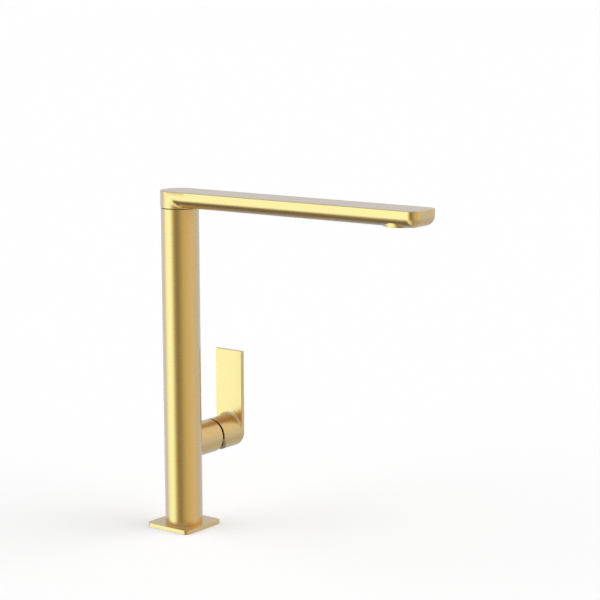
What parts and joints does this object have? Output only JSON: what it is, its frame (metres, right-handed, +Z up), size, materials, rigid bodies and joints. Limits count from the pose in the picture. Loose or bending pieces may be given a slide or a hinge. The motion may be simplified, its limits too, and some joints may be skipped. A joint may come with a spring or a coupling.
{
  "type": "mixer tap",
  "caption": "Single-lever deck mixer tap: round column on a square base plate, flat swivelling bar spout, side valve with an upright paddle lever.",
  "frame": {"origin": "column axis at the underside of the base plate, where it sits on the deck", "axes": "+Z up along the column; the spout points along -Y at rest; the valve and lever point along +X"},
  "size_m": [0.0965, 0.2945, 0.368],
  "materials": {
    "brushed_gold": "fine brushed, satin, brass PVD",
    "raw_brass": "turned, unplated",
    "steel": "satin stainless",
    "black_rubber": "matt",
    "black_plastic": "moulded, matt",
    "white_plastic": "moulded, matt",
    "ceramic": "lapped ceramic, glossy"
  },
  "bodies": {
    "tap_body": {"base_plate": "brushed_gold", "deck_gasket": "black_rubber", "column": "brushed_gold", "valve_body": "brushed_gold", "riser_tube": "raw_brass", "fixing_shank": "raw_brass", "rubber_washer": "black_rubber", "steel_washer": "steel", "ring_nut": "raw_brass", "cartridge_base": "white_plastic", "cartridge_seals": "black_rubber", "fixed_disc": "ceramic", "cartridge_cup": "white_plastic", "cartridge_nut": "raw_brass", "trim_ring": "brushed_gold", "swivel_socket": "raw_brass", "glide_rings": "white_plastic", "thrust_washer": "black_rubber", "spout_stop_screw": "steel"},
    "spout": {"spout_shell": "brushed_gold", "spout_shank": "raw_brass", "shank_o_rings": "black_rubber", "water_tube": "white_plastic", "outlet_seat": "raw_brass", "aerator_housing": "brushed_gold", "aerator_seal": "black_rubber", "flow_straightener": "white_plastic", "flow_screens": "steel"},
    "carrier": {"spindle_carrier": "black_plastic", "spindle_pin": "steel"},
    "handle": {"spindle": "raw_brass", "lever": "brushed_gold", "lever_set_screw": "steel", "screw_plug": "brushed_gold"},
    "valve_slide": {"disc_slide": "black_plastic", "moving_disc": "ceramic"}
  },
  "joints": [
    {"name": "spout_swivel", "type": "hinge", "parent": "tap_body", "child": "spout", "pos_m": [0, 0, 0.3], "axis": [0, 0, 1], "range_deg": [-60, 60]},
    {"name": "handle_turn", "type": "hinge", "parent": "tap_body", "child": "carrier", "pos_m": [0.031, 0, 0.0785], "axis": [1, 0, 0], "range_deg": [-50, 50]},
    {"name": "handle_lift", "type": "hinge", "parent": "carrier", "child": "handle", "pos_m": [0.031, 0, 0.0785], "axis": [0, 1, 0], "range_deg": [0, 25]},
    {"name": "disc_travel", "type": "slide", "parent": "carrier", "child": "valve_slide", "axis": [0, 0, 1], "range_m": [0, 0.0032]}
  ],
  "couplings": [
    {"joint": "disc_travel", "follows": "handle_lift", "m_per_rad": 0.0072}
  ]
}
